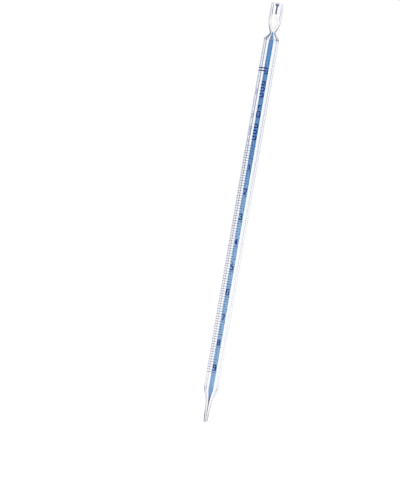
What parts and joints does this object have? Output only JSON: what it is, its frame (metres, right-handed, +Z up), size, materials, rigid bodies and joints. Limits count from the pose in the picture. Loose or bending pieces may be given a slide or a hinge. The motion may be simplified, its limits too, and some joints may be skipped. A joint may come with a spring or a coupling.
{
  "type": "graduated pipette",
  "caption": "Slender glass measuring tube with a blue back stripe, a printed scale, a drawn tip and a cotton-plugged mouthpiece.",
  "frame": {"origin": "centre of the delivery tip's end", "axes": "+Z up the tube from the tip to the mouth; -Y towards the reader of the printed scale; +Y towards the blue stripe; +X to the reader's right"},
  "size_m": [0.0112, 0.0112, 0.312],
  "materials": {
    "clear_glass": "clear polished borosilicate glass",
    "blue_glass": "opaque blue enamel glass fused into the wall",
    "dark_enamel": "fired dark blue-violet enamel",
    "cotton": "loose absorbent cotton"
  },
  "bodies": {
    "pipette": {"glass_body": "clear_glass", "blue_stripe": "blue_glass", "upper_code_ring": "dark_enamel", "lower_code_ring": "dark_enamel", "code_bar": "dark_enamel", "capacity_marking": "dark_enamel", "label_blocks": "dark_enamel", "zero_mark": "dark_enamel", "side_label": "dark_enamel", "minor_graduations": "dark_enamel", "half_graduations": "dark_enamel", "major_graduations": "dark_enamel", "numeral_1": "dark_enamel", "numeral_2": "dark_enamel", "numeral_3": "dark_enamel", "numeral_4": "dark_enamel", "numeral_5": "dark_enamel", "numeral_6": "dark_enamel", "numeral_7": "dark_enamel", "numeral_8": "dark_enamel", "numeral_9": "dark_enamel"},
    "plug": {"cotton_plug": "cotton"}
  },
  "joints": [
    {"name": "plug_pull", "type": "slide", "parent": "pipette", "child": "plug", "axis": [0, 0, 1], "range_m": [0, 0.0225]}
  ]
}
